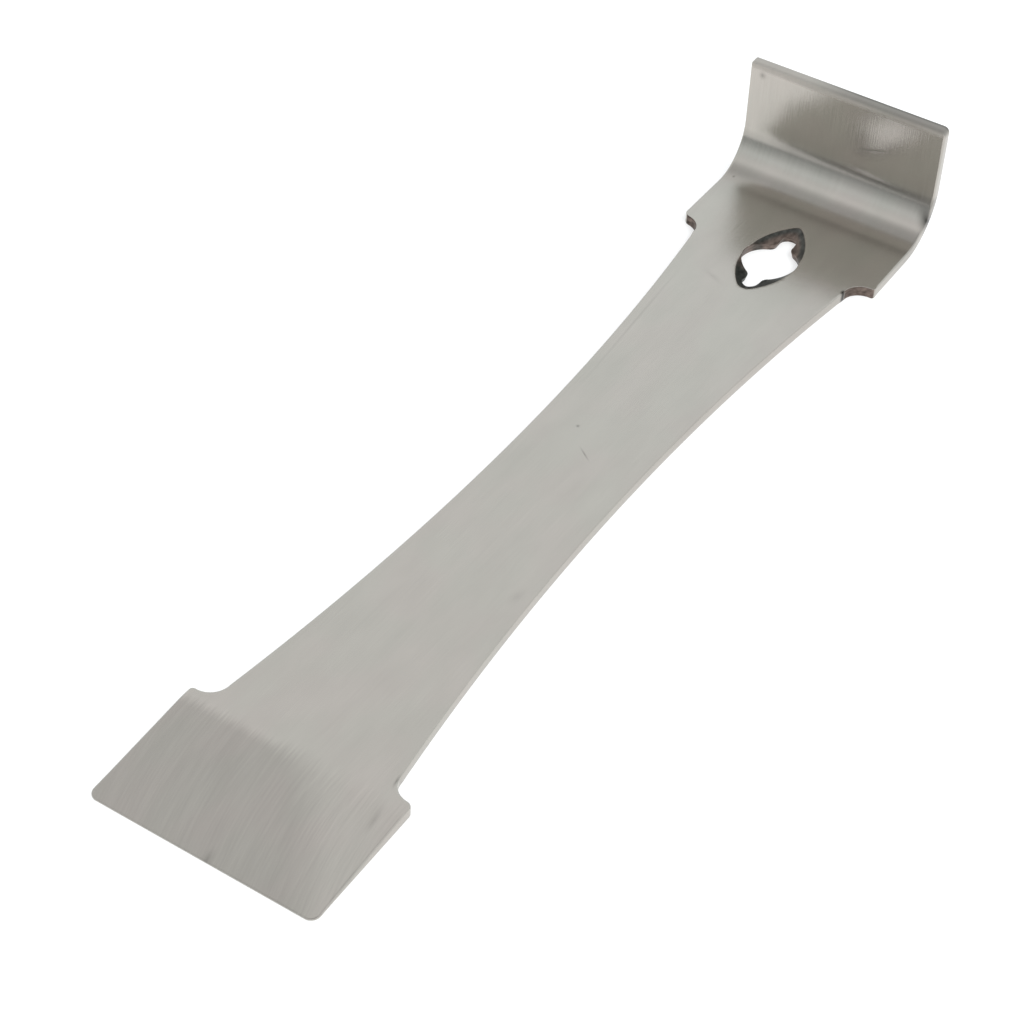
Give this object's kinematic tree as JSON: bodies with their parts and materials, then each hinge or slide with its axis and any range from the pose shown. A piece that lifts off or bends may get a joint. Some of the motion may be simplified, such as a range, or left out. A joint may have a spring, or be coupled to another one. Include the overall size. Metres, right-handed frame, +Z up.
{
  "type": "pry bar",
  "caption": "Flat one-piece steel pry bar with a wide ground scraper blade, a narrow waist, a recessed nail slot and an upturned hook, bent a little past a right angle.",
  "frame": {"origin": "centre of the bar's footprint, on the plane of its flat underside", "axes": "+X from the scraper blade to the hook, +Y across the bar, +Z up, the way the hook stands"},
  "size_m": [0.2444, 0.05, 0.0305],
  "materials": {
    "stainless_steel": "satin, brushed and ground"
  },
  "bodies": {
    "root": {"pry_bar": "stainless_steel"}
  },
  "joints": []
}
